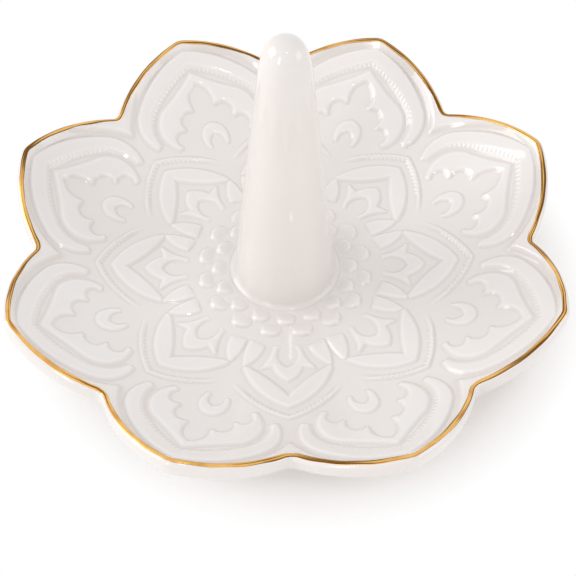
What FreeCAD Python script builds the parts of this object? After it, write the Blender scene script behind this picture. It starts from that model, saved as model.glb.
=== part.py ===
import FreeCAD
import Part
import math
import os

# Porcelain ring dish: an eight-petalled dish with an embossed lotus mandala, a hollow ring cone luted into
# its middle, a foot ring under it and a gilded lip. Millimetres, +Z up, origin on the table under the cone.

V = FreeCAD.Vector

# Plan of the rim
petal_count = 8
tip_radius = 50.4  # centre to a petal's tip
notch_depth = 7.1  # tip to the corner between two petals, before it is rounded
petal_bulge = 1.84  # rise of each side's arc over its chord
tip_rounding = 4.0
notch_rounding = 1.8

# Bowl, a flat middle that rises in one arc to the tips
tip_height = 15.9  # table to the crest of a tip, before the lip is rounded
floor_height = 4.0  # table to the sunk field in the middle
floor_radius = 19.0  # flat part of the middle
wall = 2.6  # field to underside
relief_height = 0.7  # field to the crest of the ornament
lip_rounding = 0.8
under_lip_rounding = 1.2

# Gilding on the lip
gold_thickness = 0.15
gold_inside = 1.15  # plan width over the lip
gold_outside = 1.0  # depth down the outer wall

# Ring cone, drain-cast and open below, with heights above the field
cone_base_radius = 8.95
cone_shoulder_radius = 4.6
cone_shoulder_height = 45.5
nose_length = 9.5  # shoulder to the rounded end
cone_wall = 2.6
hollow_end_radius = 1.5
nose_fullness = 0.72  # 0 is a point, 1 a flat end

# Joint of the cone: its foot stands on a layer of slip in a shallow seat, with a vent below
seat_depth = 0.8
seat_clearance = 0.15
slip_layer = 0.3
slip_fillet = 0.9
vent_radius = 3.0

# Foot ring under the bowl
foot_inner_radius = 25.0
foot_width = 3.4
foot_rounding = 0.6

# Ornament of a rim petal, along its axis from the tip inwards
border_at_tip = 1.8
border_at_notch = 3.6
outer_groove = 0.7
band_width = 1.9
band_length = 13.1
inner_groove = 2.0
panel_point = 1.2
flame_length = 4.4
scallop_length = 5.8
crescent_gap = 3.55
crescent_thickness = 1.7
crescent_length = 4.5

# Ornament of an inner petal, along its axis from the notch inwards
chevron_drop = 9.95
chevron_width = 1.1
chevron_length = 6.6
lens_gap = 1.95
lens_width = 1.8
lens_length = 7.4
leaf_gap = 0.45
leaf_length = 5.5
bud_gap = 4.05
bud_thickness = 2.5
bud_length = 7.2

# Two rows of scales round the cone
scale_length = 2.9
scale_gap = 0.2
scale_row_step = 3.0

petal_angle = 2 * math.pi / petal_count
half_petal = petal_angle / 2
petal_axes = [half_petal + k * petal_angle for k in range(petal_count)]
inner_axes = [k * petal_angle for k in range(petal_count)]
notch_radius = tip_radius - notch_depth
cone_height = cone_shoulder_height + nose_length
seat_radius = cone_base_radius + seat_clearance
seat_height = floor_height - seat_depth
top = floor_height + cone_height + tip_height  # above everything
reach = tip_radius + tip_rounding  # outside everything
near = 0.01


def place(axis, along, across):
    """A plan point, along a petal's axis and across it."""
    c, s = math.cos(axis), math.sin(axis)
    return V(along * c - across * s, along * s + across * c, 0)


def polar(axis, radius, share=0.0):
    """A plan point by its radius and its share of half a petal's angle from the axis."""
    return place(axis + share * half_petal, radius, 0)


def prism(face):
    return face.extrude(V(0, 0, top))


def closed_face(edges):
    return Part.Face(Part.Wire(Part.__sortEdges__(edges)))


def line(start, end):
    """A straight edge of a profile, between radius and height pairs."""
    return Part.LineSegment(V(start[0], 0, start[1]), V(end[0], 0, end[1])).toShape()


def chain(*points):
    return [line(start, end) for start, end in zip(points, points[1:])]


def arc(start, middle, end):
    return Part.Arc(*(V(radius, 0, height) for radius, height in (start, middle, end))).toShape()


def revolved(profile):
    return closed_face(profile).revolve(V(0, 0, 0), V(0, 0, 1), 360)


# Bowl surfaces: each is level in the middle, then an arc; the arcs share a centre, and that of the crest
# passes through the tips
crest_rise = tip_height - floor_height - relief_height
crest_arc = ((tip_radius - floor_radius) ** 2 + crest_rise**2) / (2 * crest_rise)
arc_centre_height = tip_height - crest_rise + crest_arc
field_arc = crest_arc + relief_height
under_arc = field_arc + wall


def bowl_height(radius, bowl_arc):
    beyond = max(radius - floor_radius, 0.0)
    return arc_centre_height - math.sqrt(bowl_arc**2 - beyond**2)


def bowl_profile(bowl_arc):
    """A bowl surface from the axis out to the reach."""
    radii = (0, floor_radius, (floor_radius + reach) / 2, reach)
    points = [(radius, bowl_height(radius, bowl_arc)) for radius in radii]
    return [line(points[0], points[1]), arc(*points[1:])]


def bowl_between(upper, lower):
    """The shell between two bowl surfaces."""
    ends = [line((r, bowl_height(r, upper)), (r, bowl_height(r, lower))) for r in (0, reach)]
    return revolved(bowl_profile(upper) + bowl_profile(lower) + ends)


def above_bowl(lower):
    """All the space over a bowl surface."""
    edge, middle = (reach, bowl_height(reach, lower)), (0, bowl_height(0, lower))
    return revolved(bowl_profile(lower) + chain(edge, (reach, top), (0, top), middle))


# Rim outline: side arcs from tip to notch, with a rounding circle on the axis and one in each notch
notch = (notch_radius * math.cos(half_petal), notch_radius * math.sin(half_petal))
chord = math.hypot(tip_radius - notch[0], notch[1])
side_radius = (chord**2 / 4 + petal_bulge**2) / (2 * petal_bulge)
inward = (side_radius - petal_bulge) / chord
middle_of_side = ((tip_radius + notch[0]) / 2, notch[1] / 2)
side_centre = (
    middle_of_side[0] - inward * notch[1],
    middle_of_side[1] - inward * (tip_radius - notch[0]),
)
tip_centre = (
    side_centre[0] + math.sqrt((side_radius - tip_rounding) ** 2 - side_centre[1] ** 2),
    0.0,
)
along_notch = side_centre[0] * math.cos(half_petal) + side_centre[1] * math.sin(half_petal)
across_notch = side_centre[0] * math.sin(half_petal) - side_centre[1] * math.cos(half_petal)
notch_reach = along_notch + math.sqrt((side_radius + notch_rounding) ** 2 - across_notch**2)
notch_centre = (notch_reach * math.cos(half_petal), notch_reach * math.sin(half_petal))


def towards(target, distance):
    """The point at a distance from the side arc's centre, towards a target."""
    du, dv = target[0] - side_centre[0], target[1] - side_centre[1]
    scale = distance / math.hypot(du, dv)
    return side_centre[0] + du * scale, side_centre[1] + dv * scale


def rim_face(grow):
    """The petalled outline, grown outwards by a distance."""
    tip, middle, foot = (
        towards(target, side_radius + grow) for target in (tip_centre, middle_of_side, notch_centre)
    )
    edges = []
    for axis in petal_axes:
        plain = [place(axis, u, v) for u, v in (tip, middle, foot)]
        mirrored = [place(axis, u, -v) for u, v in (tip, middle, foot)]
        point = place(axis, tip_centre[0] + tip_rounding + grow, 0)
        corner = polar(axis, notch_reach - notch_rounding + grow, 1)
        next_foot = place(axis + petal_angle, foot[0], -foot[1])
        for points in (plain, mirrored, (plain[0], point, mirrored[0]), (plain[2], corner, next_foot)):
            edges.append(Part.Arc(*points).toShape())
    return closed_face(edges)


def on_rim(edge, bowl_arc):
    """Whether an edge lies where the petalled wall meets a bowl surface."""
    ends = [vertex.Point for vertex in edge.Vertexes]
    radii = [math.hypot(p.x, p.y) for p in ends]
    off = [abs(p.z - bowl_height(r, bowl_arc)) for p, r in zip(ends, radii)]
    return min(radii) > notch_radius - notch_rounding and max(off) < near


def rounded_blank(grow):
    """The dish with a rounded lip and no ornament, its top and wall grown by a distance."""
    blank = bowl_between(crest_arc - grow, under_arc).common(prism(rim_face(grow)))
    lip = [edge for edge in blank.Edges if on_rim(edge, crest_arc - grow)]
    return blank.makeFillet(lip_rounding + grow, lip)


# Ornament: outlines of arcs and lines for one side of an axis, mirrored to the other. Each point is a radius
# and a share of half a petal's angle, and a step is a middle and an end for an arc, or an end for a line.
def half_outline(axis, side, start, steps):
    edges = []
    here = polar(axis, start[0], side * start[1])
    for step in steps:
        points = [polar(axis, radius, side * share) for radius, share in step]
        edge = Part.Arc(here, *points) if len(points) == 2 else Part.LineSegment(here, *points)
        edges.append(edge.toShape())
        here = points[-1]
    return edges


def both_sides(axis, start, *steps):
    return half_outline(axis, 1, start, steps) + half_outline(axis, -1, start, steps)


def mix(start, end, share):
    return start + (end - start) * share


border_tip = tip_radius - border_at_tip
band_tip = border_tip - outer_groove
panel_tip = band_tip - band_width - inner_groove
flame_tip = panel_tip - panel_point
flame_cusp = flame_tip - flame_length
chevron_tip = notch_radius - chevron_drop
lens_tip = chevron_tip - chevron_width - lens_gap
lens_corner = lens_tip - lens_length
leaf_tip = lens_corner - leaf_gap
bud_tip = lens_tip - lens_width - bud_gap


def field_face():
    """The sunk field, inside the plain border of the rim."""
    corner = notch_radius - border_at_notch
    side = [(mix(border_tip, corner, 0.37), 0.62), (corner, 1)]
    edges = []
    for axis in petal_axes:
        edges += both_sides(axis, (border_tip, 0), side)
    return closed_face(edges)


def beaded_band(axis):
    """The arched band inside the border of a rim petal."""
    inner, end = band_tip - band_width, band_tip - band_length
    edges = both_sides(
        axis,
        (band_tip, 0),
        [(mix(band_tip, end, 0.21), 0.43), (mix(band_tip, end, 0.46), 0.74)],
        [(mix(band_tip, end, 0.73), 0.88), (end, 0.83)],
        [(mix(inner, end, 0.64), 0.745), (mix(inner, end, 0.45), 0.61)],
        [(mix(inner, end, 0.23), 0.34), (inner, 0)],
    )
    return closed_face(edges)


def scalloped_panel(axis):
    """The pointed panel of a rim petal, with a flame and two scallops cut into its inner edge."""
    foot = flame_cusp - scallop_length
    edges = both_sides(
        axis,
        (panel_tip, 0),
        [(mix(panel_tip, foot, 0.19), 0.23), (mix(panel_tip, foot, 0.3), 0.42)],
        [(mix(panel_tip, foot, 0.63), 0.65), (foot, 0.55)],
        [(mix(flame_cusp, foot, 0.55), 0.54), (mix(flame_cusp, foot, 0.5), 0.365)],
        [(mix(flame_cusp, foot, 0.035), 0.32), (flame_cusp, 0.155)],
        [(mix(flame_cusp, flame_tip, 0.5), 0.145), (flame_tip, 0)],
    )
    return closed_face(edges)


def crescent(axis):
    """The horseshoe at the foot of a rim petal, open towards the cone."""
    tip = flame_cusp - crescent_gap
    end, inner = tip - crescent_length, tip - crescent_thickness
    edges = both_sides(
        axis,
        (tip, 0),
        [(mix(tip, end, 0.09), 0.085), (mix(tip, end, 0.48), 0.165)],
        [(mix(tip, end, 0.72), 0.17), (end, 0.14)],
        [(mix(inner, end, 0.42), 0.115), (inner, 0)],
    )
    return closed_face(edges)


def chevron(axis):
    """The arched ridge over an inner petal."""
    inner, end = chevron_tip - chevron_width, chevron_tip - chevron_length
    edges = both_sides(
        axis,
        (chevron_tip, 0),
        [(mix(chevron_tip, end, 0.45), 0.49), (end, 0.89)],
        [(mix(inner, end, 0.49), 0.46), (inner, 0)],
    )
    return closed_face(edges)


def lens_pair(axis):
    """The two lenses under the chevron, joined at their tip."""
    inner = lens_tip - lens_width
    edges = both_sides(
        axis,
        (lens_tip, 0),
        [(mix(lens_tip, lens_corner, 0.46), 0.5), (lens_corner, 0.83)],
        [(mix(inner, lens_corner, 0.59), 0.29), (inner, 0)],
    )
    return closed_face(edges)


def leaf(axis, side):
    """One of the two leaves that flank the bud."""
    foot = leaf_tip - leaf_length
    outline = (
        [(mix(leaf_tip, foot, 0.5), 0.93), (foot, 0.93)],
        [(mix(leaf_tip, foot, 0.9), 0.58)],
        [(mix(leaf_tip, foot, 0.5), 0.645), (leaf_tip, 0.855)],
    )
    return closed_face(half_outline(axis, side, (leaf_tip, 0.855), outline))


def bud(axis):
    """The tulip bud in the middle of an inner petal, with its two sepals."""
    inner, foot = bud_tip - bud_thickness, bud_tip - bud_length
    edges = both_sides(
        axis,
        (bud_tip, 0),
        [(mix(bud_tip, foot, 0.21), 0.21), (mix(bud_tip, foot, 0.42), 0.3)],
        [(mix(bud_tip, foot, 0.31), 0.53)],
        [(mix(bud_tip, foot, 0.64), 0.36), (foot, 0.3)],
        [(foot, 0.21)],
        [(mix(bud_tip, foot, 0.58), 0.24), (inner, 0)],
    )
    return closed_face(edges)


def scale_of_row(axis, foot):
    """A small scale with a round outer end, narrowing towards the cone."""
    tip = foot + scale_length
    edges = both_sides(
        axis,
        (tip, 0),
        [(mix(tip, foot, 0.14), 0.22), (mix(tip, foot, 0.48), 0.33)],
        [(foot, 0.2)],
        [(mix(tip, foot, 0.83), 0)],
    )
    return closed_face(edges)


def ornament():
    faces = []
    for axis in petal_axes:
        faces += [beaded_band(axis), scalloped_panel(axis), crescent(axis)]
    for axis in inner_axes:
        faces += [chevron(axis), lens_pair(axis), leaf(axis, 1), leaf(axis, -1), bud(axis)]
    inner_row = cone_base_radius + slip_fillet + scale_gap
    for k in range(2 * petal_count):
        faces.append(scale_of_row(k * half_petal, inner_row))
        faces.append(scale_of_row((k + 0.5) * half_petal, inner_row + scale_row_step))
    return [prism(face) for face in faces]


def dish_body():
    """The pressed dish: the field is sunk round the ornament, and the seat and its vent are cut."""
    blank = rounded_blank(0)
    under_lip = [edge for edge in blank.Edges if on_rim(edge, under_arc)]
    dish = blank.makeFillet(under_lip_rounding, under_lip)
    field = prism(field_face()).cut(ornament()).common(above_bowl(field_arc))
    seat = Part.makeCylinder(seat_radius, top, V(0, 0, seat_height))
    vent = Part.makeCylinder(vent_radius, top)
    return dish.cut(field).cut([seat, vent])


def gold_rim():
    """A skin over the rounded lip, as far as the gilding goes inside and outside."""
    band = rounded_blank(gold_thickness).cut(prism(rim_face(-gold_inside)))
    return band.common(above_bowl(crest_arc + gold_outside)).cut(rounded_blank(0))


cone_taper = (cone_base_radius - cone_shoulder_radius) / cone_shoulder_height
cone_foot_height = seat_height + slip_layer


def cone_side(height):
    """The point of the cone's side at a height above the table."""
    return cone_base_radius - cone_taper * (height - floor_height), height


cone_foot = cone_side(cone_foot_height)
cone_bore = (cone_foot[0] - cone_wall, cone_foot_height)


def ring_cone():
    shoulder = cone_side(floor_height + cone_shoulder_height)
    nose = floor_height + cone_height
    rise = nose_fullness * (nose - shoulder[1])
    curve = Part.BezierCurve()
    curve.setPoles(
        [
            V(shoulder[0], 0, shoulder[1]),
            V(shoulder[0] - cone_taper * rise, 0, shoulder[1] + rise),
            V(nose_fullness * shoulder[0], 0, nose),
            V(0, 0, nose),
        ]
    )
    full_wall = (cone_base_radius - cone_wall - hollow_end_radius) / cone_taper
    hollow = floor_height + min(full_wall, cone_height - cone_wall - hollow_end_radius)
    bend = hollow_end_radius * math.sqrt(0.5)
    end = (0, hollow + hollow_end_radius)
    start = (hollow_end_radius, hollow)
    profile = [line(cone_foot, shoulder), curve.toShape(), line((0, nose), end)]
    profile += [arc(start, (bend, hollow + bend), end)]
    return revolved(profile + chain(start, cone_bore, cone_foot))


def slip_joint():
    """The slip under and round the cone's foot, coved where it meets the floor."""
    toe = (cone_base_radius + slip_fillet, floor_height)
    upper = cone_side(floor_height + slip_fillet)
    cove = slip_fillet * (1 - math.sqrt(0.5))
    hollow = (cone_side(floor_height + cove)[0] + cove, floor_height + cove)
    inner, outer = (cone_bore[0], seat_height), (seat_radius, seat_height)
    bed = chain(upper, cone_foot, cone_bore, inner, outer, (seat_radius, floor_height), toe)
    return revolved(bed + [arc(toe, hollow, upper)])


def foot_ring():
    """The ring that the dish stands on, fitted to the underside."""
    outer = foot_inner_radius + foot_width
    ring = Part.makeCylinder(outer, tip_height).cut(Part.makeCylinder(foot_inner_radius, tip_height))
    resting = [edge for edge in ring.Edges if edge.BoundBox.ZMax < near]
    return ring.makeFillet(foot_rounding, resting).cut(above_bowl(under_arc))


parts = {
    "dish_body": dish_body(),
    "ring_cone": ring_cone(),
    "slip_joint": slip_joint(),
    "foot_ring": foot_ring(),
    "gold_rim": gold_rim(),
}

os.makedirs("parts", exist_ok=True)
for name, shape in parts.items():
    shape.exportStep(f"parts/{name}.step")
    print(name, "solids", len(shape.Solids), "valid", shape.isValid(), "volume", round(shape.Volume, 1))
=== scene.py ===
import bmesh
import bpy
import numpy as np
from mathutils import Matrix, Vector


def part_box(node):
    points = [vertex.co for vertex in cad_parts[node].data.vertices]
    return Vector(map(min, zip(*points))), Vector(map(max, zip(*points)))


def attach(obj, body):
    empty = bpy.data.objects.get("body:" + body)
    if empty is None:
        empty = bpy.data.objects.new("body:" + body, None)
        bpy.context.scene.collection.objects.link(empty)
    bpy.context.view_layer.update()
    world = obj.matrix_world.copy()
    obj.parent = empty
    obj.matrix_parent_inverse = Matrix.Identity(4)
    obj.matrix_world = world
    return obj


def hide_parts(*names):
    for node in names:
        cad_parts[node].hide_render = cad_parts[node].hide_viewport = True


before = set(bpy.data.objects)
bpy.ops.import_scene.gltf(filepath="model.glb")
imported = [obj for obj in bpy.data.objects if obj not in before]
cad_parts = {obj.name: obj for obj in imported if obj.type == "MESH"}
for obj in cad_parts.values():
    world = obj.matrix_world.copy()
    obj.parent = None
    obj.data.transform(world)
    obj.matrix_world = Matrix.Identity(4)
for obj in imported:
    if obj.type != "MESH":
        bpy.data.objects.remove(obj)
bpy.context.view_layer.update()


# Dish
# The dish is white porcelain, pressed in a mould, with eight pointed petals round a flat middle.
# Its upper face rises in one arc to the tips, the field is sunk inside a plain border, and a clear
# glaze covers it all.
petal_count = 8
half_petal = np.pi / petal_count
tip_radius = 50.4
notch_radius = 43.3
petal_bulge = 1.84
tip_rounding = 4.0
notch_rounding = 1.8
floor_height = 4.0
floor_radius = 19.0
tip_height = 15.9
relief_height = 0.7
wall = 2.6
lip_rounding = 0.8
under_lip_rounding = 1.2
border_tip = 48.6
border_notch = 39.7
border_run = 1.0
border_crisp = 0.35
slope_reach = (-1.0, 0.2)
seat_radius = 9.1
seat_height = 3.2
seat_step = 0.05
vent_radius = 3.0
dish_sides = 768
field_rings, slope_rings, border_rings = 39, 19, 6
lip_rings, wall_rings, heel_rings, under_rings = 11, 3, 8, 25

crest_rise = tip_height - floor_height - relief_height
crest_arc = ((tip_radius - floor_radius) ** 2 + crest_rise**2) / (2 * crest_rise)
arc_centre = tip_height - crest_rise + crest_arc


def mix(start, end, share):
    """What lies a share of the way from a start to an end."""
    return start + (end - start) * share


def bowl(radius, lift):
    """Height of the bowl: level in the middle, then an arc about one centre, lifted square to the
    field."""
    beyond = np.maximum(radius - floor_radius, 0.0)
    return arc_centre - np.sqrt((crest_arc + relief_height - lift) ** 2 - beyond**2)


def bowl_slope(radius, lift):
    """Rise over run of the bowl along a radius: the run from the arc's centre over the drop."""
    return np.maximum(radius - floor_radius, 0.0) / (arc_centre - bowl(radius, lift))


# The glaze's colour darkens with a share at each point that is partly thick glaze and partly
# painted shade: darker in the sunk field and at the foot of raised edges, lighter on raised tops
# and over crests as painted highlight.
glaze_thin = (0.89, 0.86, 0.84, 1.0)
glaze_pooled = (0.775, 0.72, 0.688, 1.0)
even_glaze = 0.42
field_glaze_shade = 0.46
raised_glaze_shade = 0.27
foot_power = 1.6
crest_place = 0.08
crest_width = 0.22
groove_place = 0.65
groove_width = 0.35


def glazed_edge(depth, run, crisp):
    """Share of the full rise near an edge, by the depth inside it: a curve that leaves the field
    level, a run outside the edge, steepens to the edge, and rounds over to the top within a crisp
    share."""
    climb = np.maximum(1 + depth / run, 0.0) ** foot_power
    return (climb + 1 - np.hypot(climb - 1, crisp)) / 2


def glaze_shade_depth(depth, run):
    """Share of darker tone near an edge, by the depth inside it, partly glaze thickness and partly
    painted shade: darker on the sunk field than on what is raised, lightest over the crest just
    inside the edge as painted highlight and darkest at the foot as painted shade, each a bell
    curve."""
    level = mix(field_glaze_shade, raised_glaze_shade, np.clip(1 + depth / run, 0.0, 1.0))
    crest = np.exp(-(((depth - crest_place) / crest_width) ** 2))
    groove = np.exp(-(((depth + groove_place * run) / (groove_width * run)) ** 2))
    return level * (1 - crest) + (1 - level) * groove


def polar(radius, share):
    """A plan point of a petal by its radius and its share of half the petal's angle."""
    angle = np.asarray(share) * half_petal
    return np.stack([radius * np.cos(angle), radius * np.sin(angle)], axis=-1)


def circle_through(a, b, c):
    """Centre and radius of the circle through three plan points: two bisectors of its chords
    meet in the centre."""
    chords = np.array([b - a, c - a])
    centre = a + np.linalg.solve(2 * chords, (chords**2).sum(axis=1))
    return centre, np.hypot(*(a - centre))


def ray_to_circle(fold, centre, radius, side):
    """Plan radius at which a ray from the dish's axis meets a circle, on its far side (1) or its
    near side (-1)."""
    along = centre[0] * np.cos(fold) + centre[1] * np.sin(fold)
    across = centre[0] * np.sin(fold) - centre[1] * np.cos(fold)
    return along + side * np.sqrt(np.maximum(radius**2 - across**2, 0.0))


def folded(angle):
    """Angle from the nearest petal's axis: what is left over from whole petals, either way."""
    return np.abs(angle % (2 * half_petal) - half_petal)


tip_point = np.array([tip_radius, 0.0])
notch_point = polar(notch_radius, 1.0)
chord = notch_point - tip_point
chord_length = np.hypot(*chord)
side_radius = (chord_length**2 / 4 + petal_bulge**2) / (2 * petal_bulge)
inwards = np.array([chord[1], -chord[0]]) / chord_length
side_centre = (tip_point + notch_point) / 2 - inwards * (side_radius - petal_bulge)
tip_run = np.sqrt((side_radius - tip_rounding) ** 2 - side_centre[1] ** 2)
tip_centre = np.array([side_centre[0] + tip_run, 0.0])
notch_axis = polar(1.0, 1.0)
notch_along = side_centre @ notch_axis
notch_across = side_centre @ np.array([notch_axis[1], -notch_axis[0]])
notch_reach = notch_along + np.sqrt((side_radius + notch_rounding) ** 2 - notch_across**2)
notch_centre = notch_reach * notch_axis


def touch_fold(end_centre, side):
    """Angle from the petal's axis at which its side, an arc of some radius, touches the circle
    that rounds an end: the line between the two centres goes through that point."""
    towards = (end_centre - side_centre) / np.hypot(*(end_centre - side_centre))
    touch = side_centre[:, None] + towards[:, None] * np.ravel(side)
    return np.arctan2(touch[1], touch[0]).reshape(np.shape(side))


def rim_radius(angle, inset):
    """Plan radius of the petalled rim, or of the line a distance inside it: each side is an arc, a
    small circle rounds each tip and each notch, and the ray at the angle meets one of them."""
    fold = folded(angle)
    side = side_radius - inset
    on_tip = ray_to_circle(fold, tip_centre, tip_rounding - inset, 1)
    on_side = ray_to_circle(fold, side_centre, side, 1)
    in_notch = ray_to_circle(fold, notch_centre, notch_rounding + inset, -1)
    past_tip = np.where(fold > touch_fold(notch_centre, side), in_notch, on_side)
    return np.where(fold < touch_fold(tip_centre, side), on_tip, past_tip)


def lean(angle, radius):
    """Cosine of the angle between a closed plan curve's normal and the ray, from the curve's own
    change."""
    step = angle[1] - angle[0]
    change = (np.roll(radius, -1) - np.roll(radius, 1)) / (2 * step)
    return radius / np.hypot(radius, change)


def lip_section(angle, turn, grow):
    """Radius and height round the lip: a circle that touches the outer wall and the crest, grown
    by a distance; turn goes from 0 at the wall to 1 where the circle runs into the crest, and then
    on along it."""
    corner = rim_radius(angle, 0.0)
    slope = np.arctan(bowl_slope(corner, relief_height) * lean(angle, corner))
    around = np.minimum(turn, 1.0) * (np.pi / 2 + slope)
    beyond = np.maximum(turn - 1.0, 0.0) * lip_rounding * (np.pi / 2 + slope)
    level = bowl(corner, relief_height) - lip_rounding * (np.tan(slope) + 1 / np.cos(slope))
    inset = lip_rounding - (lip_rounding + grow) * np.cos(around) + beyond * np.cos(slope)
    height = level + (lip_rounding + grow) * np.sin(around) - beyond * np.sin(slope)
    return rim_radius(angle, inset), height


def full_turn(count):
    """Evenly spaced plan angles, once round the axis."""
    return np.arange(count) / count * 2 * np.pi


def grid_faces(rows, columns, wrap_rows, wrap_columns):
    """Quads between the lines of a grid of points; a wrapped direction joins its last line to its
    first."""
    index = np.arange(rows * columns).reshape(rows, columns)
    if wrap_rows:
        index = np.vstack([index, index[:1]])
    if wrap_columns:
        index = np.hstack([index, index[:, :1]])
    corners = [index[:-1, :-1], index[:-1, 1:], index[1:, 1:], index[1:, :-1]]
    return np.stack(corners, axis=-1).reshape(-1, 4).tolist()


def around_axis(angle, radius, height):
    """Points in millimetres from plan angles, radii and heights, one row of the grid to a ring."""
    angle, radius, height = np.broadcast_arrays(angle, radius, height)
    return np.stack([radius * np.cos(angle), radius * np.sin(angle), height], axis=-1)


def piece(name, points, faces, material, node_slot, **layers):
    """A closed mesh from points in millimetres, smooth, with its faces turned outwards; layers are
    named values at each point, such as the share of darker tone, partly thick glaze and partly
    painted shade."""
    mesh = bpy.data.meshes.new(name)
    mesh.from_pydata((points.reshape(-1, 3) * 0.001).tolist(), [], faces)
    work = bmesh.new()
    work.from_mesh(mesh)
    bmesh.ops.recalc_face_normals(work, faces=work.faces)
    work.to_mesh(mesh)
    work.free()
    mesh.polygons.foreach_set("use_smooth", np.ones(len(mesh.polygons), bool))
    for layer, values in layers.items():
        data = mesh.attributes.new(layer, "FLOAT", "POINT").data
        data.foreach_set("value", np.ascontiguousarray(values, np.float32).ravel())
    mesh.materials.append(material)
    obj = bpy.data.objects.new(name, mesh)
    bpy.context.scene.collection.objects.link(obj)
    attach(obj, "root")
    return obj


def add_node(tree, kind, **sockets):
    """A shader node with some of its input sockets set."""
    node = tree.nodes.new(kind)
    for socket, value in sockets.items():
        node.inputs[socket.replace("_", " ")].default_value = value
    return node


def remap(tree, value, source, target):
    """A value carried in a line from one range to another and held at its ends."""
    node = tree.nodes.new("ShaderNodeMapRange")
    sockets = ("From Min", "From Max", "To Min", "To Max")
    for socket, number in zip(sockets, (*source, *target)):
        node.inputs[socket].default_value = number
    tree.links.new(value, node.inputs["Value"])
    return node.outputs["Result"]


def fired_surface():
    """Node group for fired ware: slow clouding of the tone, uneven gloss and a fine ripple."""
    tree = bpy.data.node_groups.new("fired_surface", "ShaderNodeTree")
    settings = {"Cloud Scale": 40.0, "Ripple Scale": 700.0, "Smoothest": 0.06, "Roughest": 0.14}
    for name, value in settings.items():
        socket = tree.interface.new_socket(name, in_out="INPUT", socket_type="NodeSocketFloat")
        socket.default_value = value
    for name in ("Clouding", "Roughness", "Ripple"):
        tree.interface.new_socket(name, in_out="OUTPUT", socket_type="NodeSocketFloat")
    entry = tree.nodes.new("NodeGroupInput")
    leave = tree.nodes.new("NodeGroupOutput")
    place = tree.nodes.new("ShaderNodeTexCoord").outputs["Object"]
    cloud = add_node(tree, "ShaderNodeTexNoise", Detail=3.0, Roughness=0.55)
    ripple = add_node(tree, "ShaderNodeTexNoise", Detail=2.0)
    for node, scale in ((cloud, "Cloud Scale"), (ripple, "Ripple Scale")):
        tree.links.new(place, node.inputs["Vector"])
        tree.links.new(entry.outputs[scale], node.inputs["Scale"])
    clouding = remap(tree, cloud.outputs["Fac"], (0.3, 0.7), (0.0, 1.0))
    tree.links.new(clouding, leave.inputs["Clouding"])
    rough = tree.nodes.new("ShaderNodeMapRange")
    tree.links.new(cloud.outputs["Fac"], rough.inputs["Value"])
    tree.links.new(entry.outputs["Smoothest"], rough.inputs["To Min"])
    tree.links.new(entry.outputs["Roughest"], rough.inputs["To Max"])
    tree.links.new(rough.outputs["Result"], leave.inputs["Roughness"])
    tree.links.new(ripple.outputs["Fac"], leave.inputs["Ripple"])
    return tree


fired_group = fired_surface()
clouding_share = 0.25
ripple_depth = 0.0001


def ware_material(name, colour, shade, ripple, **fired):
    """Fired ware: its colour goes to a shade with the clouding and with a layer that is partly
    thick glaze and partly painted shade.
    """
    material = bpy.data.materials.new(name)
    material.use_nodes = True
    tree = material.node_tree
    shader = tree.nodes["Principled BSDF"]
    surface = tree.nodes.new("ShaderNodeGroup")
    surface.node_tree = fired_group
    for socket, value in fired.items():
        surface.inputs[socket.replace("_", " ")].default_value = value
    # The layer read here darkens the colour where glaze lies thick and where shade is painted into
    # grooves and the sunk field.
    pooled = tree.nodes.new("ShaderNodeAttribute")
    pooled.attribute_name = "pooled"
    thick_glaze_and_shade = tree.nodes.new("ShaderNodeMath")
    thick_glaze_and_shade.operation = "MULTIPLY_ADD"
    thick_glaze_and_shade.use_clamp = True
    tree.links.new(surface.outputs["Clouding"], thick_glaze_and_shade.inputs[0])
    thick_glaze_and_shade.inputs[1].default_value = clouding_share
    tree.links.new(pooled.outputs["Fac"], thick_glaze_and_shade.inputs[2])
    tone = tree.nodes.new("ShaderNodeMix")
    tone.data_type = "RGBA"
    tone.inputs["A"].default_value = colour
    tone.inputs["B"].default_value = shade
    tree.links.new(thick_glaze_and_shade.outputs["Value"], tone.inputs["Factor"])
    tree.links.new(tone.outputs["Result"], shader.inputs["Base Color"])
    tree.links.new(surface.outputs["Roughness"], shader.inputs["Roughness"])
    bump = add_node(tree, "ShaderNodeBump", Strength=ripple, Distance=ripple_depth)
    tree.links.new(surface.outputs["Ripple"], bump.inputs["Height"])
    tree.links.new(bump.outputs["Normal"], shader.inputs["Normal"])
    return material


glaze = ware_material("clear_glaze_on_white", glaze_thin, glaze_pooled, ripple=0.1)
glaze_shader = glaze.node_tree.nodes["Principled BSDF"]
glaze_shader.inputs["IOR"].default_value = 1.52
glaze_shader.inputs["Coat Weight"].default_value = 0.8
glaze_shader.inputs["Coat Roughness"].default_value = 0.03

border_circle = circle_through(
    polar(border_tip, 0.0),
    polar(mix(border_tip, border_notch, 0.37), 0.62),
    polar(border_notch, 1.0),
)


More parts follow.
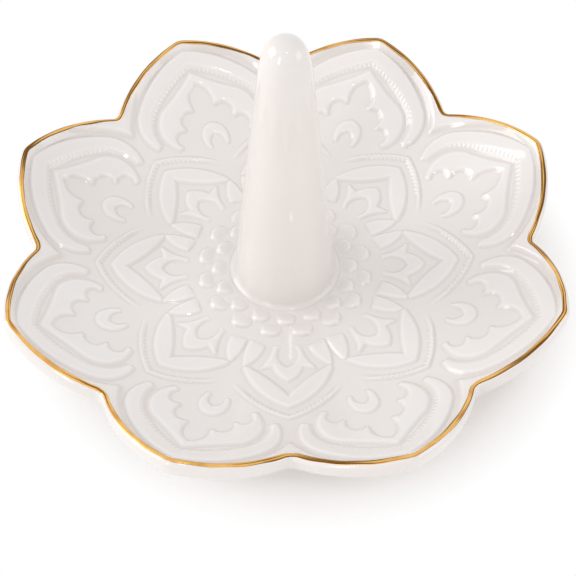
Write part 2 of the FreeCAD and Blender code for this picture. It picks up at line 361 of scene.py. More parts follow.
def dish_surface():
    """The whole skin of the dish as rings: up out of the seat, over the field, up the slope of the
    border, round the lip, down the wall, back under the bowl, and up the vent to the seat."""
    angle = full_turn(dish_sides)
    edge = ray_to_circle(folded(angle), *border_circle, 1)
    corner = rim_radius(angle, 0.0)
    widen = 1 / lean(angle, edge)
    across = np.linspace(*slope_reach, slope_rings)[:, None] * border_run
    slope_radius = edge + across * widen
    slope_lift = np.maximum(glazed_edge(across, border_run, border_crisp), 0.0)
    field_share = np.linspace(0, 1, field_rings + 1)[:-1, None]
    field_radius = mix(seat_radius, slope_radius[0], field_share)
    lip_radius, lip_height = lip_section(angle, np.linspace(1, 0, lip_rings)[:, None], 0.0)
    border_share = np.linspace(0, 1, border_rings + 2)[1:-1, None]
    border_radius = mix(slope_radius[-1], lip_radius[0], border_share)

    under_slope = np.arctan(bowl_slope(corner, -wall) * lean(angle, corner))
    under_drop = under_lip_rounding * (1 / np.cos(under_slope) - np.tan(under_slope))
    under_level = bowl(corner, -wall) + under_drop
    wall_share = np.linspace(0, 1, wall_rings + 2)[1:-1, None]
    wall_height = mix(lip_height[-1], under_level, wall_share)
    around = -np.linspace(0, 1, heel_rings)[:, None] * (np.pi / 2 - under_slope)
    heel_radius = rim_radius(angle, under_lip_rounding * (1 - np.cos(around)))
    heel_height = under_level + under_lip_rounding * np.sin(around)
    under_share = np.linspace(0, 1, under_rings + 1)[1:, None]
    under_radius = mix(heel_radius[-1], vent_radius, under_share)
    flat = np.ones_like(angle)
    radius = [
        field_radius,
        slope_radius,
        border_radius,
        lip_radius,
        corner * np.ones((wall_rings, 1)),
        heel_radius,
        under_radius,
        vent_radius * flat,
        (seat_radius - seat_step) * flat,
        seat_radius * flat,
    ]
    height = [
        bowl(field_radius, 0.0),
        bowl(slope_radius, relief_height * slope_lift),
        bowl(border_radius, relief_height),
        lip_height,
        wall_height,
        heel_height,
        bowl(under_radius, -wall),
        seat_height * flat,
        seat_height * flat,
        (seat_height + seat_step) * flat,
    ]
    # Tone layer: the sunk field darker and the border's top lighter, partly glaze and partly
    # painted shade; the border's slope gets painted shade at its foot and painted highlight on its
    # crest.
    pooled = [np.full_like(np.atleast_2d(rows), even_glaze) for rows in radius]
    pooled[0][:] = field_glaze_shade
    pooled[1] = glaze_shade_depth(across, border_run) * np.ones_like(slope_radius)
    pooled[2][:] = raised_glaze_shade
    points = around_axis(angle, np.vstack(radius), np.vstack(height))
    return points, grid_faces(*points.shape[:2], True, True), np.vstack(pooled)


points, faces, pooled = dish_surface()
dish = piece("dish", points, faces, glaze, "glazed_porcelain", pooled=pooled)
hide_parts("dish_body")


# Ornament of the rim petals
# Each rim petal has a broad arched band inside the border, a pointed panel with a flame and
# scallops cut into its inner edge, and a small horseshoe. The mould gave them, and the glaze has
# run down round their edges; the darker tone round them is partly that glaze and partly painted
# shade, and their lighter crests are partly painted highlight.
petal_axes = half_petal * (1 + 2 * np.arange(petal_count))
band_gap = 0.6
band_width = 2.0
band_tip = border_tip - band_gap
band_inner = band_tip - band_width
band_end = 34.6
band_steps = 110
band_profile = (0.56, 1.4, 0.9, 0.5)
panel_tip = 44.2
panel_foot = 32.5
flame_tip = 43.0
flame_cusp = 38.4
panel_steps = 120
panel_profile = (0.52, 0.95, 1.2, 0.6)
crescent_tip = 34.85
crescent_inner = 33.15
crescent_end = 30.35
crescent_steps = 50
crescent_profile = (0.42, 0.8, 0.9, 0.6)
skirt_sink = 0.02
under_field = -0.5
skirt_shares = np.array([1.0, 0.86, 0.72, 0.58, 0.44, 0.31, 0.19, 0.09])
end_shares = np.array([0.25, 0.5, 0.75, 1.0])
mirror = np.array([1.0, -1.0])
arc_samples = 200
across_samples = 17


def arc_path(count, *places):
    """A path of arcs through a start and then a middle and an end for each arc, as evenly spaced
    points."""
    corners = [polar(*place) for place in places]
    runs = []
    for start, middle, end in zip(corners[:-2:2], corners[1:-1:2], corners[2::2]):
        centre, radius = circle_through(start, middle, end)
        turns = [np.arctan2(*(corner - centre)[::-1]) for corner in (start, middle, end)]
        first, _, last = np.unwrap(turns)
        sweep = np.linspace(first, last, arc_samples)
        runs.append(centre + radius * np.stack([np.cos(sweep), np.sin(sweep)], axis=-1))
    path = np.vstack(runs)
    length = np.concatenate([[0], np.cumsum(np.hypot(*np.diff(path, axis=0).T))])
    even = np.linspace(0, length[-1], count)
    return np.stack([np.interp(even, length, path[:, k]) for k in (0, 1)], axis=-1)


def distance_to(path, places):
    """Distance of plan points from a path: the least over the nearest points of its runs."""
    start, run = path[:-1], np.diff(path, axis=0)
    p = places[..., None, :]
    share = ((p - start) * run).sum(axis=-1) / np.maximum((run**2).sum(axis=-1), 1e-12)
    near = start + np.clip(share, 0, 1)[..., None] * run
    return np.hypot(*np.moveaxis(p - near, -1, 0)).min(axis=-1)


def outward_normals(path, other, window=9):
    """Unit normals of a path that point away from the other edge, each averaged over a window of
    points so that they fan out evenly round a corner."""
    along = np.gradient(path, axis=0)
    normal = np.stack([along[:, 1], -along[:, 0]], axis=-1)
    normal /= np.maximum(np.hypot(*normal.T), 1e-9)[:, None]
    normal *= np.sign(((path - other) * normal).sum())
    padded = np.pad(normal, ((window // 2, window // 2), (0, 0)), mode="edge")
    weights = np.ones(window) / window
    even = np.stack([np.convolve(padded[:, k], weights, "valid") for k in (0, 1)], axis=-1)
    return even / np.hypot(*even.T)[:, None]


def ribbon(inner, outer, rise, inner_run, outer_run, crisp, mirrored=True):
    """Half a raised motif between two edges that start on the petal's axis, or a whole one, as
    rows of plan points, their lift over the field and the share of darker tone on them, partly
    thick glaze and partly painted shade in the grooves, with painted highlight over the crests. A
    row goes straight across from edge to edge and down a skirt, a run wide, on each side; the lift
    is the rise times both edges' shares. A profile holds the rise, both runs and the crispness."""
    if mirrored:
        inner, outer = (np.vstack([edge[:0:-1] * mirror, edge]) for edge in (inner, outer))
    normals = outward_normals(inner, outer), outward_normals(outer, inner)
    past = len(end_shares)
    steps = end_shares[:, None] * max(inner_run, outer_run)
    tail = inner[-1] + outer[-1] - inner[-3] - outer[-3]
    head = inner[0] + outer[0] - inner[2] - outer[2]
    after = tail / np.hypot(*tail) * steps
    before = head / np.hypot(*head) * steps[::-1]
    rows = [np.vstack([edge[0] + before, edge, edge[-1] + after]) for edge in (inner, outer)]
    outs = [np.pad(normal, ((past, past), (0, 0)), mode="edge") for normal in normals]
    share = (1 - np.cos(np.linspace(0, np.pi, across_samples))) / 2
    if mirrored:
        middle = len(rows[0]) // 2
        rows, outs = ([line[middle:] for line in group] for group in (rows, outs))
        for line in rows + outs:
            line[0, 1] = 0.0
    lower = rows[0][:, None] + outs[0][:, None] * (skirt_shares * inner_run)[:, None]
    upper = rows[1][:, None] + outs[1][:, None] * (skirt_shares[::-1] * outer_run)[:, None]
    between = rows[0][:, None] + (rows[1] - rows[0])[:, None] * share[:, None]
    plan = np.concatenate([lower, between, upper], axis=1)
    if mirrored:
        plan[..., 1] = np.maximum(plan[..., 1], 0.0)
    column = np.arange(plan.shape[1])
    past_end = np.zeros((len(plan), 1), bool)
    past_end[-past:] = True
    if not mirrored:
        past_end[:past] = True
    below = column < len(skirt_shares)
    above = column >= len(skirt_shares) + len(share)
    inner_depth = np.where(below | past_end, -1.0, 1.0) * distance_to(inner, plan)
    outer_depth = np.where(above | past_end, -1.0, 1.0) * distance_to(outer, plan)
    inner_share = glazed_edge(inner_depth, inner_run, crisp)
    outer_share = glazed_edge(outer_depth, outer_run, crisp)
    # Painted shade at the foot of each edge and painted highlight over its crest, with some real
    # glaze thickness.
    inner_glaze_shade = glaze_shade_depth(inner_depth, inner_run)
    outer_glaze_shade = glaze_shade_depth(outer_depth, outer_run)
    pooled = np.where(inner_depth < outer_depth, inner_glaze_shade, outer_glaze_shade)
    return plan, rise * (inner_share * outer_share) - skirt_sink, pooled


def motif(name, halves, axes):
    """One piece from raised motifs, mirrored where they start on the petal's axis, closed
    underneath and turned to each axis."""
    groups, pools, faces, count = [], [], [], 0
    for plan, lift, pooled in halves:
        under = np.full((len(plan), 2), under_field)
        plan = np.concatenate([plan, plan[:, -1:], plan[:, :1]], axis=1)
        lift = np.concatenate([lift, under], axis=1)
        pooled = np.concatenate([pooled, np.ones_like(under)], axis=1)
        if abs(plan[0, :, 1]).max() == 0:
            plan = np.concatenate([plan[:0:-1] * mirror, plan])
            lift, pooled = (np.concatenate([rows[:0:-1], rows]) for rows in (lift, pooled))
        radius = np.hypot(plan[..., 0], plan[..., 1])
        angle = np.arctan2(plan[..., 1], plan[..., 0])
        rows, columns = radius.shape
        quads = np.array(grid_faces(rows, columns, False, True))
        for axis in axes:
            groups.append(around_axis(angle + axis, radius, bowl(radius, lift)).reshape(-1, 3))
            pools.append(pooled.ravel())
            faces += (quads + count).tolist()
            first = np.arange(columns) + count
            faces.append(first.tolist())
            faces.append((first + (rows - 1) * columns).tolist())
            count += rows * columns
    pooled = np.concatenate(pools)
    return piece(name, np.vstack(groups), faces, glaze, "glazed_porcelain", pooled=pooled)


band_outer_edge = arc_path(
    band_steps,
    (band_tip, 0.0),
    (mix(band_tip, band_end, 0.21), 0.42),
    (mix(band_tip, band_end, 0.46), 0.72),
    (mix(band_tip, band_end, 0.73), 0.875),
    (band_end, 0.84),
)
band_inner_edge = arc_path(
    band_steps,
    (band_inner, 0.0),
    (mix(band_inner, band_end, 0.23), 0.34),
    (mix(band_inner, band_end, 0.45), 0.6),
    (mix(band_inner, band_end, 0.64), 0.73),
    (band_end + 0.2, 0.8),
)
motif("arched_bands", [ribbon(band_inner_edge, band_outer_edge, *band_profile)], petal_axes)

panel_outer_edge = arc_path(
    panel_steps,
    (panel_tip, 0.0),
    (mix(panel_tip, panel_foot, 0.19), 0.2),
    (mix(panel_tip, panel_foot, 0.34), 0.43),
    (mix(panel_tip, panel_foot, 0.65), 0.65),
    (panel_foot, 0.56),
)
panel_inner_edge = arc_path(
    panel_steps,
    (flame_tip, 0.0),
    (mix(flame_cusp, flame_tip, 0.5), 0.145),
    (flame_cusp, 0.155),
    (mix(flame_cusp, panel_foot, 0.035), 0.32),
    (mix(flame_cusp, panel_foot, 0.5), 0.365),
    (mix(flame_cusp, panel_foot, 0.55), 0.535),
    (panel_foot, 0.53),
)
motif("scalloped_panels", [ribbon(panel_inner_edge, panel_outer_edge, *panel_profile)], petal_axes)

crescent_outer_edge = arc_path(
    crescent_steps,
    (crescent_tip, 0.0),
    (mix(crescent_tip, crescent_end, 0.09), 0.085),
    (mix(crescent_tip, crescent_end, 0.48), 0.165),
    (mix(crescent_tip, crescent_end, 0.72), 0.17),
    (crescent_end, 0.14),
)
crescent_inner_edge = arc_path(
    crescent_steps,
    (crescent_inner, 0.0),
    (mix(crescent_inner, crescent_end, 0.42), 0.115),
    (crescent_end, 0.13),
)
crescent = ribbon(crescent_inner_edge, crescent_outer_edge, *crescent_profile)
motif("horseshoes", [crescent], petal_axes)


# Ornament of the inner petals
# Between the rim petals a smaller lotus turns by half a petal: an arched ridge over a pair of
# lenses, and two leaves that flank a tulip bud with two sepals. All are pressed with the dish and
# softened by the glaze.
inner_axes = 2 * half_petal * np.arange(petal_count)
ridge_tip = 32.95
ridge_width = 0.2
ridge_end = 26.8
ridge_steps = 80
ridge_fade = 0.3
ridge_profile = (0.4, 1.0, 0.7, 0.3)
lens_tip = 30.3
lens_inner = 28.4
lens_corner = 22.85
lens_steps = 80
lens_profile = (0.45, 1.0, 0.9, 0.45)
leaf_tip = 22.35
leaf_foot = 17.0
leaf_steps = 40
leaf_profile = (0.42, 0.8, 0.6, 0.45)
bud_tip = 24.45
bud_inner = 21.95
bud_foot = 17.25
bud_steps = 90
bud_profile = (0.45, 0.85, 0.9, 0.6)
foot_sink = 1.2


def faded(half, share):
    """A raised motif whose lift and its tone of glaze and painted shade go to the field's as a
    share falls to nought.
    """
    plan, lift, pooled = half
    return plan, (lift + skirt_sink) * share - skirt_sink, mix(field_glaze_shade, pooled, share)


def sinking(half, low, high):
    """A raised motif that grows evenly from nought at one plan radius to its whole at another."""
    radius = np.hypot(half[0][..., 0], half[0][..., 1])
    return faded(half, np.clip((radius - low) / (high - low), 0.0, 1.0))


def ridge_edge(across):
    """The line of the arched ridge, moved across it by a distance."""
    tip, end = ridge_tip + across, ridge_end + across
    return arc_path(ridge_steps, (tip, 0.0), (mix(tip, end, 0.47), 0.47), (end, 0.88))


ridge_edges = ridge_edge(-ridge_width / 2), ridge_edge(ridge_width / 2)
ridge = ribbon(*ridge_edges, *ridge_profile)
dying = np.clip(np.linspace(1.0, 0.0, len(ridge[0])) / ridge_fade, 0.0, 1.0)[:, None]
motif("arched_ridges", [faded(ridge, dying)], inner_axes)

lens_outer_edge = arc_path(
    lens_steps,
    (lens_tip, 0.0),
    (mix(lens_tip, lens_corner, 0.46), 0.48),
    (lens_corner, 0.83),
)
lens_inner_edge = arc_path(
    lens_steps,
    (lens_inner, 0.0),
    (mix(lens_inner, lens_corner, 0.58), 0.29),
    (lens_corner - 0.1, 0.82),
)
motif("lenses", [ribbon(lens_inner_edge, lens_outer_edge, *lens_profile)], inner_axes)

leaf_outer_edge = arc_path(
    leaf_steps,
    (leaf_tip, 0.86),
    (mix(leaf_tip, leaf_foot, 0.5), 0.93),
    (leaf_foot, 0.93),
)
leaf_inner_edge = arc_path(
    leaf_steps,
    (leaf_tip, 0.85),
    (mix(leaf_tip, leaf_foot, 0.5), 0.645),
    (mix(leaf_tip, leaf_foot, 0.9), 0.58),
)
leaf = ribbon(leaf_inner_edge, leaf_outer_edge, *leaf_profile, mirrored=False)
leaf = sinking(leaf, leaf_foot - foot_sink, leaf_foot + foot_sink)
other_leaf = (leaf[0] * mirror, *leaf[1:])
motif("leaves", [leaf, other_leaf], inner_axes)

bud_outer_edge = arc_path(
    bud_steps,
    (bud_tip, 0.0),
    (mix(bud_tip, bud_foot, 0.21), 0.19),
    (mix(bud_tip, bud_foot, 0.42), 0.28),
    (mix(bud_tip, bud_foot, 0.375), 0.40),
    (mix(bud_tip, bud_foot, 0.31), 0.51),
    (mix(bud_tip, bud_foot, 0.64), 0.36),
    (bud_foot, 0.3),
)
bud_inner_edge = arc_path(
    bud_steps,
    (bud_inner, 0.0),
    (mix(bud_tip, bud_foot, 0.58), 0.235),
    (bud_foot, 0.21),
)
bud = ribbon(bud_inner_edge, bud_outer_edge, *bud_profile)
motif("tulip_buds", [sinking(bud, bud_foot - foot_sink, bud_foot + foot_sink)], inner_axes)


# Scales
# Two rows of sixteen small round-ended scales stand round the cone, the outer row over the gaps of
# the inner. They are pressed with the dish, each highest at its round end and sloping down towards
# the cone.
scale_feet = (9.7, 12.2)
scale_length = 2.9
scale_steps = 26
scale_profile = (0.75, 0.4, 0.75, 0.7)


def scale(foot):
    """A raised motif with a round outer end, whose lift falls to nought towards its foot."""
    tip = foot + scale_length
    heel = mix(tip, foot, 0.83)
    outer = arc_path(
        scale_steps,
        (tip, 0.0),
        (mix(tip, foot, 0.14), 0.19),
        (mix(tip, foot, 0.48), 0.29),
        (mix(tip, foot, 0.8), 0.24),
        (foot, 0.18),
    )
    inner = arc_path(scale_steps, (heel, 0.0), (mix(tip, foot, 0.87), 0.09), (foot, 0.17))
    return sinking(ribbon(inner, outer, *scale_profile), heel, tip)


sixteenths = half_petal * np.arange(2 * petal_count)
motif("inner_scales", [scale(scale_feet[0])], sixteenths)
motif("outer_scales", [scale(scale_feet[1])], sixteenths + half_petal / 2)


# Beads
# A row of short beads runs along the inner edge of each arched band and each arched ridge, like a
# cord. They were cut into the mould one by one, and the glaze leaves them as low bumps on the
# slope.
bead_pitch = 0.85
bead_length = 0.55
bead_width = 0.4
bead_rise = 0.075
bead_offset = 0.3
bead_bite = 0.01
bead_sink = skirt_sink + bead_bite
bead_rings = 5
bead_sides = 12
band_bead_span = (0.03, 0.75)
ridge_bead_span = (0.06, 1 - ridge_fade)


def dome(rings, sides, length, width, rise):
    """A low oval dome that leaves its ground level: rings shrink from the base to the top, and the
    lift is the rise times the square of one less the ring's share squared."""
    ring = np.linspace(1.0, 0.0, rings + 1)[:, None]
    turn = full_turn(sides)
    lift = rise * (1 - ring**2) ** 2 * np.ones(sides)
    return length * ring * np.cos(turn), width * ring * np.sin(turn), lift


def ribbon_lift(outside, width, rise, inner_run, outer_run, crisp):
    """Lift of a ribbon of a width at a distance outside its inner edge: the rise times both edges'
    shares."""
    inner_share = glazed_edge(-outside, inner_run, crisp)
    return rise * inner_share * glazed_edge(width + outside, outer_run, crisp)


def domes(name, shape, places, across, width, profile):
    """Copies of a dome at plan places on the inner slope of a ribbon, each turned across it and
    closed with a top point and a face underneath."""
    rings, sides = shape[0].shape
    long, wide, lift = (np.append(part[:-1].ravel(), part[-1, 0])[None, :, None] for part in shape)
    along = np.stack([-across[:, 1], across[:, 0]], axis=-1)
    plan = places[:, None] + long * across[:, None] + wide * along[:, None]
    radius = np.hypot(plan[..., 0], plan[..., 1])
    ground = ribbon_lift(bead_offset + long[..., 0], width, *profile)
    height = bowl(radius, ground + lift[..., 0] - bead_sink)
    points = np.concatenate([plan, height[..., None]], axis=-1)
    quads = np.array(grid_faces(rings - 1, sides, False, True))
    last = np.arange(sides) + (rings - 2) * sides
    fans = np.stack([last, np.roll(last, -1), np.full(sides, (rings - 1) * sides)], axis=-1)
    starts = np.arange(len(places))[:, None, None] * points.shape[1]
    faces = (quads + starts).reshape(-1, 4).tolist()
    faces += (fans + starts).reshape(-1, 3).tolist()
    faces += (np.arange(sides) + starts[:, 0]).tolist()
    # Beads take the lighter tone of raised tops: partly thin glaze, partly less painted shade than
    # the field.
    pooled = np.full(points.shape[:2], raised_glaze_shade)
    return piece(name, points, faces, glaze, "glazed_porcelain", pooled=pooled)


def bead_places(inner, outer, span, axes):
    """Evenly pitched plan places just outside an inner edge, over a span of its length, and the
    directions across it, mirrored and turned to each axis."""
    out = outward_normals(inner, outer)
    line = inner + bead_offset * out
    length = np.concatenate([[0], np.cumsum(np.hypot(*np.diff(line, axis=0).T))])
    even = np.arange(span[0] * length[-1], span[1] * length[-1], bead_pitch)
    half = [[np.interp(even, length, rows[:, k]) for k in (0, 1)] for rows in (line, out)]
    both = np.concatenate([half, np.array(half) * mirror[:, None]], axis=2)
    c, s = np.cos(axes)[:, None], np.sin(axes)[:, None]
    return [np.stack([c * u - s * v, s * u + c * v], axis=-1).reshape(-1, 2) for u, v in both]


bead_shape = dome(bead_rings, bead_sides, bead_length, bead_width, bead_rise)
band_beads = bead_places(band_inner_edge, band_outer_edge, band_bead_span, petal_axes)
domes("band_beads", bead_shape, *band_beads, band_width, band_profile)
ridge_beads = bead_places(*ridge_edges, ridge_bead_span, inner_axes)
domes("ridge_beads", bead_shape, *ridge_beads, ridge_width, ridge_profile)


# Ring cone
# The cone in the middle is drain-cast porcelain with an open foot and a blunt rounded nose. It is
# glazed like the dish, and its foot stands in the seat.
cone_low, cone_high = (corner.z * 1000 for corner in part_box("ring_cone"))
cone_base = 8.95
cone_shoulder = 4.6
shoulder_height = 49.5
nose_fullness = 0.72
cone_wall = 2.6
hollow_end = 1.5
cone_sides = 160
hollow_rings, bore_rings, side_rings, nose_rings = 8, 11, 59, 30


def turned_piece(name, angle, radius, height, material, node_slot, poles):
    """A closed turned piece from a profile of radii and heights: a loop, or with poles, the
    heights at which the profile starts and ends on the axis."""
    points = around_axis(angle, radius[:, None], height[:, None])
    rows, columns = points.shape[:2]
    faces = grid_faces(rows, columns, poles is None, True)
    points = points.reshape(-1, 3)
    if poles is not None:
        points = np.vstack([points, [[0.0, 0.0, pole] for pole in poles]])
        first = np.arange(columns)
        last = first + (rows - 1) * columns
        for line, pole in ((first, rows * columns), (last, rows * columns + 1)):
            fan = np.stack([line, np.roll(line, -1), np.full(columns, pole)], axis=-1)
            faces += fan.tolist()
    pooled = np.full(len(points), even_glaze)
    return piece(name, points, faces, material, node_slot, pooled=pooled)


def bezier(t, *poles):
    """A cubic curve from four poles, each weighted by its share at t."""
    a, b, c, d = (np.array(pole) for pole in poles)
    t = t[:, None]
    return a * (1 - t) ** 3 + 3 * b * t * (1 - t) ** 2 + 3 * c * t**2 * (1 - t) + d * t**3


cone_taper = (cone_base - cone_shoulder) / (shoulder_height - floor_height)
nose_rise = nose_fullness * (cone_high - shoulder_height)
nose = bezier(
    np.linspace(0, 1, nose_rings + 1)[:-1],
    (cone_shoulder, shoulder_height),
    (cone_shoulder - cone_taper * nose_rise, shoulder_height + nose_rise),
    (nose_fullness * cone_shoulder, cone_high),
    (0.0, cone_high),
)
cone_foot = cone_base + cone_taper * (floor_height - cone_low)
side_height = np.linspace(cone_low, shoulder_height, side_rings + 1)[:-1]
side = np.stack([cone_foot - cone_taper * (side_height - cone_low), side_height], axis=-1)
hollow_height = floor_height + (cone_base - cone_wall - hollow_end) / cone_taper
quarter = np.linspace(np.pi / 2, 0, hollow_rings + 1)[1:]
hollow_rise = hollow_height + hollow_end * np.sin(quarter)
hollow = np.stack([hollow_end * np.cos(quarter), hollow_rise], axis=-1)
bore_height = np.linspace(hollow_height, cone_low, bore_rings + 1)[1:]
bore_radius = cone_foot - cone_wall - cone_taper * (bore_height - cone_low)
bore = np.stack([bore_radius, bore_height], axis=-1)
cone_profile = np.vstack([hollow, bore, side, nose])
cone_angle = full_turn(cone_sides)
cone_poles = (hollow_height + hollow_end, cone_high)
cone = turned_piece("cone", cone_angle, *cone_profile.T, glaze, "glazed_porcelain", cone_poles)
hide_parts("ring_cone")


# Slip joint
# The cone is stuck into its seat with liquid clay, wiped to a small cove where it meets the floor.
# Under the glaze it reads as one soft curve from the dish to the cone.
slip_cove = 0.9
cove_sink = 0.02
bed_drop = 0.1
cove_rings = 12
turn = np.linspace(0, np.pi / 2, cove_rings)
cove_radius = cone_base + slip_cove * (1 - np.sin(turn))
cove_height = floor_height + slip_cove * (1 - np.cos(turn)) - cove_sink * np.cos(turn)
bed_inner = cone_base - cone_wall
bed_radius = np.array([bed_inner, bed_inner, seat_radius, seat_radius])
bed_height = np.array([cone_low, seat_height, seat_height, floor_height - bed_drop])
cove_lean = cone_taper * (cove_height - floor_height)
slip_radius = np.concatenate([cove_radius - cove_lean, bed_radius])
slip_height = np.concatenate([cove_height, bed_height])
slip = turned_piece(
    "slip_cove", cone_angle, slip_radius, slip_height, glaze, "glazed_porcelain", None
)
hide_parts("slip_joint")


# Foot ring
# The dish stands on a low ring of the same clay. Its resting edge is wiped clean of glaze before
# the firing, so it stays matt and a little rough.
foot_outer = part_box("foot_ring")[1].x * 1000
foot_inner = 25.0
foot_rounding = 0.6
foot_bite = 0.2
foot_sides = 192
foot_rings = 8
bare_white = (0.78, 0.745, 0.70, 1.0)
bare_grey = (0.62, 0.575, 0.52, 1.0)
bare = ware_material(
    "wiped_clay",
    bare_white,
    bare_grey,
    ripple=0.5,
    Cloud_Scale=160.0,
    Ripple_Scale=2600.0,
    Smoothest=0.6,
    Roughest=0.85,
)
round_off = np.linspace(0, np.pi / 2, foot_rings)
outer_round = foot_outer - foot_rounding * (1 - np.cos(round_off))
inner_round = foot_inner + foot_rounding * (1 - np.cos(round_off[::-1]))
round_height = foot_rounding * (1 - np.sin(round_off))
outer_top, inner_top = (bowl(radius, -wall) + foot_bite for radius in (foot_outer, foot_inner))
foot_radius = np.concatenate([[foot_outer], outer_round, inner_round, [foot_inner]])
foot_height = np.concatenate([[outer_top], round_height, round_height[::-1], [inner_top]])
foot_angle = full_turn(foot_sides)
foot = turned_piece("foot", foot_angle, foot_radius, foot_height, bare, "bare_porcelain", None)
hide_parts("foot_ring")


# Gilding
# A line of bright gold is brushed along the lip by hand and fired on last. Its edges waver a
# little, and dark streaks painted along it stand for the reflection of dark surroundings.
gold_skin = 0.045
gold_sink = 0.01
gold_under = 0.12
gold_taper = 6
gold_outer = 0.53
gold_inner = 1.03
gold_waver = 0.04
gold_sides = 1536
over_rings, below_rings = 13, 4
gold_seeds = (3, 8)
wave_count = 9
wave_range = (5, 70)
gold_bright = (0.86, 0.50, 0.16, 1.0)
gold_thin = (0.66, 0.33, 0.08, 1.0)
# A dark colour in streaks along the line, set below, is a painted reflection of dark surroundings.
gold_dark_reflection = (0.15, 0.06, 0.008, 1.0)
thin_patches = (0.45, 0.75)
rough_patches = (0.3, 0.7)
gold_roughness = (0.12, 0.3)
dark_reflection_range = (0.48, 0.56)
dark_reflection_strength = 0.95
reflection_streaks_across = 3.2
reflection_streaks_along = (70.0, 70.0, 0.0)


def brushed_edge(angle, seed):
    """A wavering of about -1 to 1 round the rim: a sum of waves with whole counts and seeded
    phases."""
    rng = np.random.default_rng(seed)
    counts = rng.integers(*wave_range, wave_count)
    phases = rng.uniform(0, 2 * np.pi, wave_count)
    return np.sin(angle[:, None] * counts + phases).sum(axis=1) / (wave_count / 2)


def gilding_surface():
    """A thin skin round the lip: its section turns from the outer edge to the inner one a little
    above the porcelain, tapers into it at both edges, and closes below it."""
    angle = full_turn(gold_sides)
    outer = gold_outer + gold_waver * brushed_edge(angle, gold_seeds[0])
    inner = gold_inner + gold_waver * brushed_edge(angle, gold_seeds[1])
    share = np.linspace(0, 1, over_rings)[:, None]
    over = gold_skin * (1 - (2 * share - 1) ** gold_taper) - gold_sink
    below = np.linspace(1, 0, below_rings)[:, None]
    turn = np.vstack([mix(outer, inner, share), mix(outer, inner, below)])
    grow = np.vstack([over, np.full_like(below, -gold_under)]) * np.ones_like(angle)
    radius, height = lip_section(angle, turn, grow)
    points = around_axis(angle, radius, height)
    across = np.vstack([share, below]) * np.ones_like(angle)
    return points, grid_faces(*points.shape[:2], True, True), across


def noise(tree, place, scale, detail):
    """Noise at a place, as a value round a half."""
    node = add_node(tree, "ShaderNodeTexNoise", Scale=scale, Detail=detail)
    tree.links.new(place, node.inputs["Vector"])
    return node.outputs["Fac"]


gold = bpy.data.materials.new("fired_gold")
gold.use_nodes = True
gold_tree = gold.node_tree
gold_shader = gold_tree.nodes["Principled BSDF"]
gold_shader.inputs["Metallic"].default_value = 1.0
gold_place = gold_tree.nodes.new("ShaderNodeTexCoord").outputs["Object"]
gold_patches = noise(gold_tree, gold_place, scale=260.0, detail=3.0)
gold_grain = noise(gold_tree, gold_place, scale=2400.0, detail=2.0)
gold_tone = gold_tree.nodes.new("ShaderNodeMix")
gold_tone.data_type = "RGBA"
gold_tone.inputs["A"].default_value = gold_bright
gold_tone.inputs["B"].default_value = gold_thin
gold_worn = remap(gold_tree, gold_patches, thin_patches, (0.0, 1.0))
gold_tree.links.new(gold_worn, gold_tone.inputs["Factor"])
# Dark streaks along the line: a painted reflection of dark surroundings mixed into the gold's
# colour.
gold_across = gold_tree.nodes.new("ShaderNodeAttribute")
gold_across.attribute_name = "across"
gold_line = remap(gold_tree, gold_across.outputs["Fac"], (0.0, 1.0), (0.0, reflection_streaks_across))
gold_side = gold_tree.nodes.new("ShaderNodeCombineXYZ")
gold_tree.links.new(gold_line, gold_side.inputs["Z"])
dark_reflection_place = gold_tree.nodes.new("ShaderNodeVectorMath")
dark_reflection_place.operation = "MULTIPLY_ADD"
dark_reflection_place.inputs[1].default_value = reflection_streaks_along
gold_tree.links.new(gold_place, dark_reflection_place.inputs[0])
gold_tree.links.new(gold_side.outputs["Vector"], dark_reflection_place.inputs[2])
dark_reflection_streaks = noise(gold_tree, dark_reflection_place.outputs["Vector"], scale=1.0, detail=2.0)
dark_reflection_share = remap(gold_tree, dark_reflection_streaks, dark_reflection_range, (0.0, dark_reflection_strength))
gold_with_dark_reflection = gold_tree.nodes.new("ShaderNodeMix")
gold_with_dark_reflection.data_type = "RGBA"
gold_with_dark_reflection.inputs["B"].default_value = gold_dark_reflection
gold_tree.links.new(gold_tone.outputs["Result"], gold_with_dark_reflection.inputs["A"])
gold_tree.links.new(dark_reflection_share, gold_with_dark_reflection.inputs["Factor"])
gold_tree.links.new(gold_with_dark_reflection.outputs["Result"], gold_shader.inputs["Base Color"])
gold_rough = remap(gold_tree, gold_patches, rough_patches, gold_roughness)
gold_tree.links.new(gold_rough, gold_shader.inputs["Roughness"])
gold_bump = add_node(gold_tree, "ShaderNodeBump", Strength=0.15, Distance=ripple_depth)
gold_tree.links.new(gold_grain, gold_bump.inputs["Height"])
gold_tree.links.new(gold_bump.outputs["Normal"], gold_shader.inputs["Normal"])
points, faces, across = gilding_surface()
gilding = piece("gilding", points, faces, gold, "gilding", across=across)
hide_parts("gold_rim")


# Floor
# A white table that runs out into a white ground. Near the dish it takes the shadow, and further
# out the camera sees plain white.
floor_size = 3.0
floor_white = (0.95, 0.915, 0.89, 1.0)
shadow_middle = (0.0035, 0.0, 0.0)
shadow_reach = (0.0405, 0.0505)
shadow_share = 0.8


def seen_rays(tree):
    """One for a ray that the camera sends straight, off a glossy face or through a clear one, else
    nought."""
    path = tree.nodes.new("ShaderNodeLightPath")
    total = path.outputs["Is Camera Ray"]
    for ray in ("Is Glossy Ray", "Is Transmission Ray"):
        either = tree.nodes.new("ShaderNodeMath")
        either.operation = "MAXIMUM"
        tree.links.new(total, either.inputs[0])
        tree.links.new(path.outputs[ray], either.inputs[1])
        total = either.outputs["Value"]
    return total


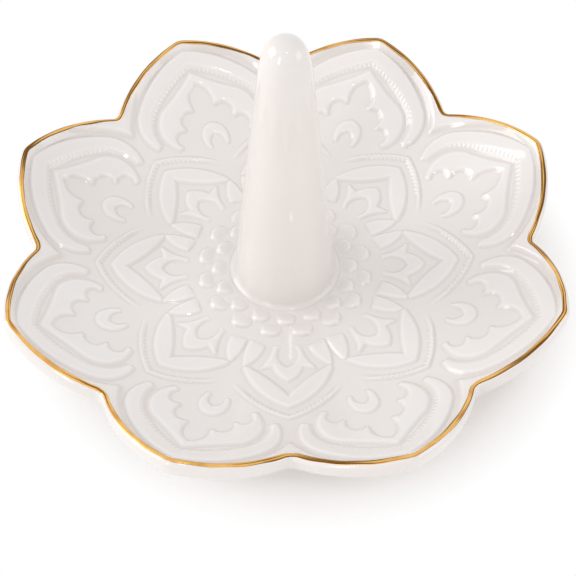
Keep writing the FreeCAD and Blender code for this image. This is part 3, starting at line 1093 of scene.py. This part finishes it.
floor_corners = np.array([[-1, -1, 0], [1, -1, 0], [1, 1, 0], [-1, 1, 0]]) * floor_size
floor_mesh = bpy.data.meshes.new("floor")
floor_mesh.from_pydata(floor_corners.tolist(), [], [[0, 1, 2, 3]])
floor = bpy.data.objects.new("floor", floor_mesh)
bpy.context.scene.collection.objects.link(floor)
table = bpy.data.materials.new("white_table")
table.use_nodes = True
table_tree = table.node_tree
table_shader = table_tree.nodes["Principled BSDF"]
table_shader.inputs["Base Color"].default_value = floor_white
table_shader.inputs["Roughness"].default_value = 0.9
table_shader.inputs["Specular IOR Level"].default_value = 0.0
table_place = table_tree.nodes.new("ShaderNodeTexCoord").outputs["Object"]
far = table_tree.nodes.new("ShaderNodeVectorMath")
far.operation = "DISTANCE"
far.inputs[1].default_value = shadow_middle
table_tree.links.new(table_place, far.inputs[0])
fade = remap(table_tree, far.outputs["Value"], shadow_reach, (1.0 - shadow_share, 1.0))
seen = table_tree.nodes.new("ShaderNodeMath")
seen.operation = "MULTIPLY"
table_tree.links.new(fade, seen.inputs[0])
table_tree.links.new(seen_rays(table_tree), seen.inputs[1])
white = add_node(table_tree, "ShaderNodeEmission", Strength=1.0)
blend = table_tree.nodes.new("ShaderNodeMixShader")
table_tree.links.new(seen.outputs["Value"], blend.inputs["Fac"])
table_tree.links.new(table_shader.outputs["BSDF"], blend.inputs[1])
table_tree.links.new(white.outputs["Emission"], blend.inputs[2])
table_surface = table_tree.nodes["Material Output"].inputs["Surface"]
table_tree.links.new(blend.outputs["Shader"], table_surface)
floor_mesh.materials.append(table)


# Light
# A white room with a wide window to the left, a narrow one in front to the left, a small lamp
# overhead and a weak window to the right. The windows stand low, so they brighten the cone and
# edge the relief.
room_level = 0.81
seen_level = 1.0
room = bpy.data.worlds.new("white_room")
bpy.context.scene.world = room
room.use_nodes = True
room_tree = room.node_tree
room_light = room_tree.nodes["Background"]
room_light.inputs["Color"].default_value = (1.0, 1.0, 1.0, 1.0)
room_strength = remap(room_tree, seen_rays(room_tree), (0.0, 1.0), (room_level, seen_level))
room_tree.links.new(room_strength, room_light.inputs["Strength"])


zenith = np.array([0.0, 0.0, 1.0])


def stand(obj, place, right, back):
    """Puts a lamp or a camera at a place, with its right side and its back towards two square
    directions."""
    bpy.context.scene.collection.objects.link(obj)
    pose = np.eye(4)
    pose[:3, :3] = np.stack([right, np.cross(back, right), back], axis=-1)
    pose[:3, 3] = place
    obj.matrix_world = Matrix(pose.tolist())


def softbox(name, place, width, height, power):
    """A rectangular lamp that stands upright and faces the middle of the dish."""
    lamp = bpy.data.lights.new(name, "AREA")
    lamp.shape = "RECTANGLE"
    lamp.size = width
    lamp.size_y = height
    lamp.energy = power
    back = np.array(place) / np.linalg.norm(place)
    right = np.cross(zenith, back)
    stand(bpy.data.objects.new(name, lamp), place, right / np.linalg.norm(right), back)


softbox("left_window", (-0.8, 0.05, 0.4), width=0.6, height=0.6, power=2.4)
softbox("front_window", (-0.52, -0.78, 0.34), width=0.16, height=0.5, power=1.0)
softbox("overhead", (0.12, -0.36, 0.85), width=0.07, height=0.07, power=0.18)
softbox("right_window", (0.8, -0.2, 0.3), width=0.5, height=0.5, power=0.9)


# Camera
# The camera looks down at the dish from the front, with the lens and the place that the rim's
# outline gave.
camera_elevation = np.radians(52.804)
camera_yaw = np.radians(-1.603)
camera_roll = np.radians(0.361)
camera_distance = 0.26153
look_at = np.array([0.000225, -0.013235, 0.0152])
camera_data = bpy.data.cameras.new("camera")
camera_data.sensor_width = 36.0
camera_data.lens = 98.25
camera_data.clip_start = 0.01
camera = bpy.data.objects.new("camera", camera_data)
level = np.array([np.cos(camera_yaw), np.sin(camera_yaw), 0.0])
ahead = np.array([-np.sin(camera_yaw), np.cos(camera_yaw), 0.0])
back = zenith * np.sin(camera_elevation) - ahead * np.cos(camera_elevation)
upright = np.cross(back, level)
right = np.cos(camera_roll) * level + np.sin(camera_roll) * upright
stand(camera, look_at + back * camera_distance, right, back)
bpy.context.scene.camera = camera
bpy.context.scene.view_settings.view_transform = "Standard"
